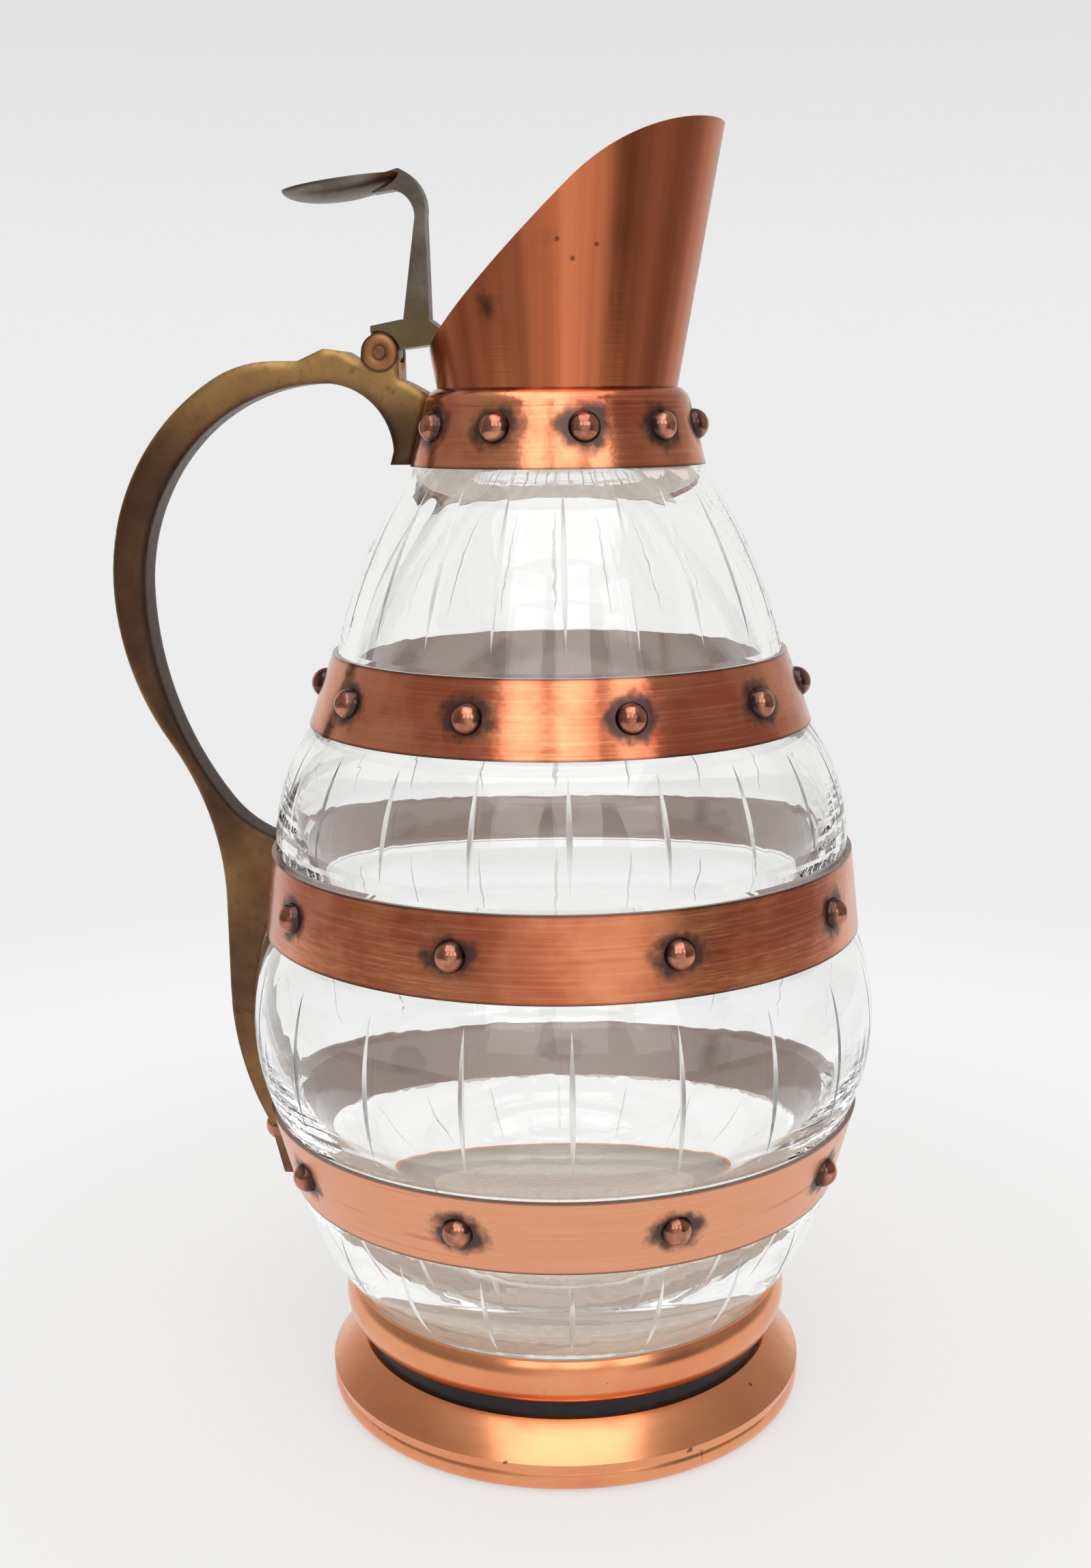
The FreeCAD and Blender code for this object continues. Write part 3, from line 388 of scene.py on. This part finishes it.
def foot_copper():
    """Polished golden copper with turning rings and a few specks, smeared with plaster inside."""
    shader = Shader("copper_foot", Metallic=1.0, Coat_Weight=LACQUER, Coat_Roughness=LACQUER_ROUGHNESS)
    ringed = shader.noise(shader.vector(shader.times(shader.radius, 900.0), shader.times(shader.angle, 0.6)))
    blotch = shader.noise(shader.point, scale=60.0, detail=3.0)
    tone = shader.mix(shader.smooth(blotch, 0.3, 0.7), COPPER, FOOT_GOLD)
    specks = shader.smooth(shader.noise(shader.point, scale=230.0, detail=1.0), 0.75, 0.78)
    tone = shader.cover(tone, specks, 0.8, TARNISH_AND_SHADE)
    inner = shader.smooth(shader.outward(), 0.0, -0.01)
    in_cup = shader.times(shader.smooth(shader.radius, CUP_RADIUS + 1.0 * MM, CUP_RADIUS),
                          shader.smooth(shader.z, CUP_FLOOR_Z - 2.0 * MM, CUP_FLOOR_Z - 1.0 * MM))
    bed = shader.times(in_cup, shader.smooth(shader.nz, 0.05, 0.3))
    inner = shader.math("MAXIMUM", inner, bed)
    tone = shader.mix(inner, tone, FOOT_PLASTER)
    rough = shader.plus(shader.times(ringed, 0.12), shader.plus(shader.times(inner, 0.4), 0.17))
    shader.set(Base_Color=tone, Roughness=rough)
    shader.bump(ringed, strength=0.05, distance=0.2 * MM)
    return shader.material


def dark_ring():
    """Blackened metal with a fine grain."""
    shader = Shader("dark_ring", Metallic=0.5)
    grain = shader.noise(shader.point, scale=300.0, detail=3.0)
    tone = shader.mix(grain, RING_BLACK, RING_GREY)
    shader.set(Base_Color=tone, Roughness=shader.plus(shader.times(grain, 0.2), 0.35))
    return shader.material


def handle_brass():
    """Aged cast brass: golden over the crown from wear and a painted highlight on its top, brown to black
    below, and painted shade on the faces inside the loop.
    """
    shader = Shader("brass_handle", Metallic=1.0)
    patch = shader.noise(shader.point, scale=65.0, detail=4.0)
    fine = shader.noise(shader.point, scale=600.0, detail=3.0)
    crown = shader.smooth(shader.z, *CROWN_RISE)
    tail = shader.smooth(shader.z, *TAIL_FALL)
    # Lighter towards the top of the crown, from wear and a painted highlight on its upper face, and a little
    # lighter down the tail.
    wear_and_light = shader.plus(shader.plus(shader.times(crown, 0.5), shader.times(tail, 0.2)), 0.1)
    wear_and_light = shader.plus(wear_and_light, shader.times(shader.minus(patch, 0.5), 0.8))
    # Faces that look out of the loop are painted lighter and faces inside it darker: painted light and shade
    # across the rounded strap.
    rounded = shader.rounded(HANDLE_ROUND)
    away = shader.vector(shader.minus(shader.x, GRIP_X), 0.0, shader.minus(shader.z, GRIP_Z))
    away = shader.add("VectorMath", {0: away}, operation="NORMALIZE").outputs[0]
    wear_and_light = shader.plus(wear_and_light, shader.times(shader.dot(rounded, away), 0.55))
    tone = shader.mix(shader.smooth(wear_and_light, -0.15, 0.35), BRASS_DARK, BRASS_BROWN)
    tone = shader.mix(shader.smooth(wear_and_light, 0.15, 0.85), tone, BRASS)
    near_collar = shader.smooth(shader.x, *ROOT_REACH)
    root = shader.times(near_collar, shader.smooth(shader.z, *ROOT_FALL))
    tone = shader.cover(tone, root, 0.6, BRASS_DARK)
    tone = shader.cover(tone, shader.smooth(fine, 0.55, 0.75), 0.4, BRASS_DARK)
    from_hinge = shader.length(shader.minus(shader.x, HINGE_X), shader.minus(shader.z, HINGE_Z))
    tone = shader.cover(tone, shader.smooth(from_hinge, EAR_RADIUS * 1.02, EAR_RADIUS * 0.92), 0.8, EAR_BROWN)
    ring = shader.smooth(shader.math("ABSOLUTE", shader.minus(from_hinge, EAR_RADIUS)), 0.5 * MM, 0.15 * MM)
    tone = shader.cover(tone, ring, 0.8, BRASS_DARK)
    shader.set(Base_Color=tone, Roughness=shader.plus(shader.times(fine, 0.22), 0.26))
    shader.bump(shader.plus(fine, patch), strength=0.15, distance=0.3 * MM, normal=rounded)
    return shader.material


def lever_bronze():
    """Grey bronze, dark on top of the pad and golden brown at the lever's foot."""
    shader = Shader("bronze_lever", Metallic=1.0)
    patch = shader.noise(shader.point, scale=110.0, detail=4.0)
    fine = shader.noise(shader.point, scale=700.0, detail=3.0)
    low = shader.smooth(shader.z, *LEVER_FOOT_FALL)
    on_pad = shader.smooth(shader.z, *PAD_RISE)
    topside = shader.times(shader.smooth(shader.nz, -0.1, 0.6), on_pad)
    grey = shader.mix(shader.smooth(patch, 0.3, 0.75), LEVER_BROWN, LEVER_GREY)
    tone = shader.cover(grey, topside, 0.85, LEVER_DARK)
    tone = shader.cover(tone, low, 0.75, LEVER_FOOT)
    shader.set(Base_Color=tone, Roughness=shader.plus(shader.times(fine, 0.2), 0.24))
    shader.bump(fine, strength=0.12, distance=0.3 * MM)
    return shader.material


def pin_brass():
    """Aged brass, mottled brown."""
    shader = Shader("brass_pin", Metallic=1.0)
    fine = shader.noise(shader.point, scale=900.0, detail=3.0)
    tone = shader.mix(fine, BRASS_DARK, PIN_BROWN)
    shader.set(Base_Color=tone, Roughness=shader.plus(shader.times(fine, 0.2), 0.3))
    return shader.material


def pale_plaster():
    """Matt plaster with a faint glow: painted light standing in for light from behind through the glass."""
    shader = Shader("plaster", Emission_Strength=0.22)
    grain = shader.noise(shader.point, scale=500.0, detail=4.0)
    tone = shader.mix(grain, PLASTER_DEEP, PLASTER_PALE)
    shader.set(Base_Color=tone, Emission_Color=tone, Roughness=shader.plus(shader.times(grain, 0.2), 0.7))
    shader.bump(grain, strength=0.4, distance=0.4 * MM)
    return shader.material


def middle(node):
    """Height of the middle of a CAD node."""
    low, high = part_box(node)
    return (low.z + high.z) / 2.0


def finishes():
    """A material for every CAD node, by its name."""
    plain_stud = stud_copper("copper_stud")
    foot = foot_copper()
    cement = pale_plaster()
    table = {
        "glass_body": clear_glass(),
        "spout": spout_copper(),
        "lid_plate": lid_copper(),
        "lid_rivets": plain_stud,
        "tail_rivet": plain_stud,
        "foot_cup": foot,
        "foot_base": foot,
        "foot_waist_ring": dark_ring(),
        "foot_cement": cement,
        "collar_cement": cement,
        "handle": handle_brass(),
        "hinge_pin": pin_brass(),
        "thumb_lever": lever_bronze(),
    }
    hoops = (
        ("lower_band", BODY_STUDS, COPPER_DULL, COPPER_DULL, 0.28),
        ("middle_band", BODY_STUDS, COPPER, COPPER_DEEP, 0.16),
        ("upper_band", UPPER_STUDS, COPPER, COPPER_DEEP, 0.10),
        ("neck_collar", COLLAR_STUDS, COPPER, COPPER_DEEP, 0.11),
    )
    for node, ring, bright, deep, dull in hoops:
        studs = "collar_studs" if node == "neck_collar" else node + "_studs"
        table[node] = hoop_copper("copper_" + node, node, ring, studs, bright, deep, dull)
        table[studs] = stud_copper("copper_" + studs, ring, studs)
    return table


def dress():
    """Give every CAD node its finish and lay the plaster smears."""
    table = finishes()
    for name, obj in nodes.items():
        obj.data.materials.clear()
        obj.data.materials.append(table[name])
    nodes["glass_body"].visible_shadow = False
    widest = glass_radius()
    for number, (node, first, last, drop) in enumerate(SMEARS, 1):
        add_smear(number, node, first, last, drop, widest, table["collar_cement"])


def glass_radius():
    """The glass's outer radius against its height, from the CAD node's own points."""
    widest = {}
    for vertex in nodes["glass_body"].data.vertices:
        x, y, z = vertex.co
        level = round(z / MM)
        widest[level] = max(widest.get(level, 0.0), math.hypot(x, y))
    return widest


def add_smear(number, node, first, last, drop, widest, cement):
    """A thin ragged strip of plaster on the glass, under the lower edge of a hoop or the collar."""
    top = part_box(node)[0].z
    levels = sorted(widest)

    def on_glass(angle, z):
        above = next(level for level in levels if level >= z / MM)
        below = max(level for level in levels if level <= z / MM)
        share = (z / MM - below) / (above - below) if above > below else 0.0
        radius = widest[below] * (1.0 - share) + widest[above] * share + SMEAR_DEPTH
        return radius * math.cos(angle), radius * math.sin(angle), z

    points = []
    faces = []
    steps = int((last - first) / SMEAR_STEP)
    for i in range(steps + 1):
        angle = math.radians(first + i * SMEAR_STEP)
        share = 4.0 * i * (steps - i) / steps**2
        wave = noise.fractal(Vector((math.cos(angle), math.sin(angle), number)) * 9.0, 0.6, 2.0, 5)
        width = max(0.02, min(1.0, 0.55 + wave) * min(1.0, 2.0 * share + 0.2)) * drop * MM
        points += [on_glass(angle, top), on_glass(angle, top - width)]
        if i:
            faces.append((2 * i - 2, 2 * i - 1, 2 * i + 1, 2 * i))
    mesh = bpy.data.meshes.new("plaster_smear")
    mesh.from_pydata(points, [], faces)
    mesh.shade_smooth()
    mesh.materials.append(cement)
    smear = bpy.data.objects.new("plaster_smear_%d" % number, mesh)
    bpy.context.scene.collection.objects.link(smear)
    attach(smear, "jug")


def add_camera():
    """The camera of the photograph. Returns the level directions along and across its view."""
    along = Vector((-math.sin(CAMERA_TURN), math.cos(CAMERA_TURN), 0.0))
    right = Vector((math.cos(CAMERA_TURN), math.sin(CAMERA_TURN), 0.0))
    forward = along * math.cos(CAMERA_PITCH) - Vector((0.0, 0.0, math.sin(CAMERA_PITCH)))
    up = right.cross(forward)
    side = right * math.cos(CAMERA_ROLL) + up * math.sin(CAMERA_ROLL)
    top = side.cross(forward)
    place = right * CAMERA_SIDE - along * CAMERA_DISTANCE + Vector((0.0, 0.0, CAMERA_HEIGHT))
    data = bpy.data.cameras.new("camera")
    data.sensor_fit = "VERTICAL"
    data.sensor_height = SENSOR_HEIGHT
    data.lens = FOCAL_PIXELS / IMAGE_HEIGHT * SENSOR_HEIGHT
    data.clip_start = 0.01
    camera = bpy.data.objects.new("camera", data)
    bpy.context.scene.collection.objects.link(camera)
    turn = Matrix((side, top, -forward)).transposed()
    camera.matrix_world = Matrix.Translation(place) @ turn.to_4x4()
    bpy.context.scene.camera = camera
    return along, right


def add_floor(along):
    """A pale table that ends near the camera and fades into the backdrop."""
    centre = along * (FLOOR_SIZE / 2.0 - FLOOR_FRONT)
    bpy.ops.mesh.primitive_plane_add(size=FLOOR_SIZE, location=centre)
    floor = bpy.context.object
    floor.name = "floor"
    floor.rotation_euler.z = CAMERA_TURN
    shader = Shader("floor", Base_Color=FLOOR_GREY, Roughness=0.7)
    world_point = shader.add("NewGeometry", {}).outputs["Position"]
    x, y, _ = shader.add("SeparateXYZ", {0: world_point}).outputs
    distance = shader.length(x, y)
    shade = shader.mix(shader.smooth(distance, *FLOOR_FADE), TABLE, BACKDROP)
    pale = shader.add("Emission", {"Color": shade, "Strength": 1.0}).outputs[0]
    more = shader.times(shader.smooth(distance, *FLOOR_GLOW), 1.0 - FLOOR_LEAST_GLOW)
    glow = shader.plus(more, FLOOR_LEAST_GLOW)
    blend = shader.add("MixShader", {0: glow, 1: shader.surface.outputs[0], 2: pale}).outputs[0]
    shader.feed(shader.tree.nodes["Material Output"].inputs["Surface"], blend)
    floor.data.materials.append(shader.material)


def add_world(along, right):
    """A pale backdrop, and on the camera's side a dimmer room for the metal to mirror."""
    world = bpy.data.worlds.new("studio")
    world.use_nodes = True
    bpy.context.scene.world = world
    world.node_tree.nodes.clear()
    graph = Graph(world.node_tree)
    direction = graph.add("TexCoord", {}).outputs["Generated"]
    turn = graph.math("ARCTAN2", graph.dot(direction, right), graph.times(graph.dot(direction, along), -1.0))
    ramp = graph.add("ValToRGB", {0: graph.plus(graph.math("DIVIDE", turn, 2.0 * math.pi), 0.5)})
    stops = ramp.color_ramp.elements
    for degrees, _ in ROOM[1:-1]:
        stops.new(degrees / 360.0 + 0.5)
    for stop, (degrees, level) in zip(stops, ROOM):
        stop.position = degrees / 360.0 + 0.5
        stop.color = [level * tint for tint in ROOM_TINT] + [1.0]
    height = graph.dot(direction, (0.0, 0.0, 1.0))
    upper = graph.times(graph.smooth(height, *UPPER_ROOM_RISE), UPPER_ROOM_SHARE)
    room = graph.mix(upper, ramp.outputs[0], UPPER_ROOM)
    room = graph.mix(graph.smooth(height, *CEILING_RISE), room, CEILING)
    path = graph.add("LightPath", {}).outputs
    through = graph.math("GREATER_THAN", path["Transmission Depth"], 0.5)
    seen = graph.math("MAXIMUM", path["Is Camera Ray"], through)
    wall = graph.mix(graph.smooth(height, *BACKDROP_RISE), BACKDROP, BACKDROP_TOP)
    wall = graph.mix(through, wall, BACKLIGHT)
    colour = graph.mix(seen, room, wall)
    light = graph.add("Background", {"Color": colour, "Strength": 1.0}).outputs[0]
    graph.add("OutputWorld", {"Surface": light})


def add_lamp(name, place, aim, size, power):
    """A rectangular lamp that looks at the aim."""
    data = bpy.data.lights.new(name, "AREA")
    data.shape = "RECTANGLE"
    data.size, data.size_y = size
    data.energy = power
    lamp = bpy.data.objects.new(name, data)
    bpy.context.scene.collection.objects.link(lamp)
    lamp.location = place
    lamp.rotation_euler = (aim - place).to_track_quat("-Z", "Y").to_euler()


def add_lights(along, right):
    """A window of three panes behind the camera, and a soft ceiling."""
    up = Vector((0.0, 0.0, 1.0))
    target = up * LAMP_TARGET_Z
    for pane, side in enumerate(PANE_SIDES, 1):
        place = right * side - along * PANE_NEAR + up * PANE_Z
        add_lamp("window_pane_%d" % pane, place, target, PANE_SIZE, PANE_POWER)
    place = up * CEILING_LAMP_Z - along * CEILING_LAMP_NEAR
    add_lamp("ceiling", place, target, CEILING_LAMP_SIZE, CEILING_LAMP_POWER)


dress()
view_along, view_right = add_camera()
add_floor(view_along)
add_world(view_along, view_right)
add_lights(view_along, view_right)

bpy.context.scene.view_settings.view_transform = "Standard"
# Enough bounces for light that runs along inside the glass walls
bpy.context.scene.cycles.max_bounces = GLASS_BOUNCES
bpy.context.scene.cycles.glossy_bounces = GLASS_BOUNCES
bpy.context.scene.cycles.transmission_bounces = GLASS_BOUNCES
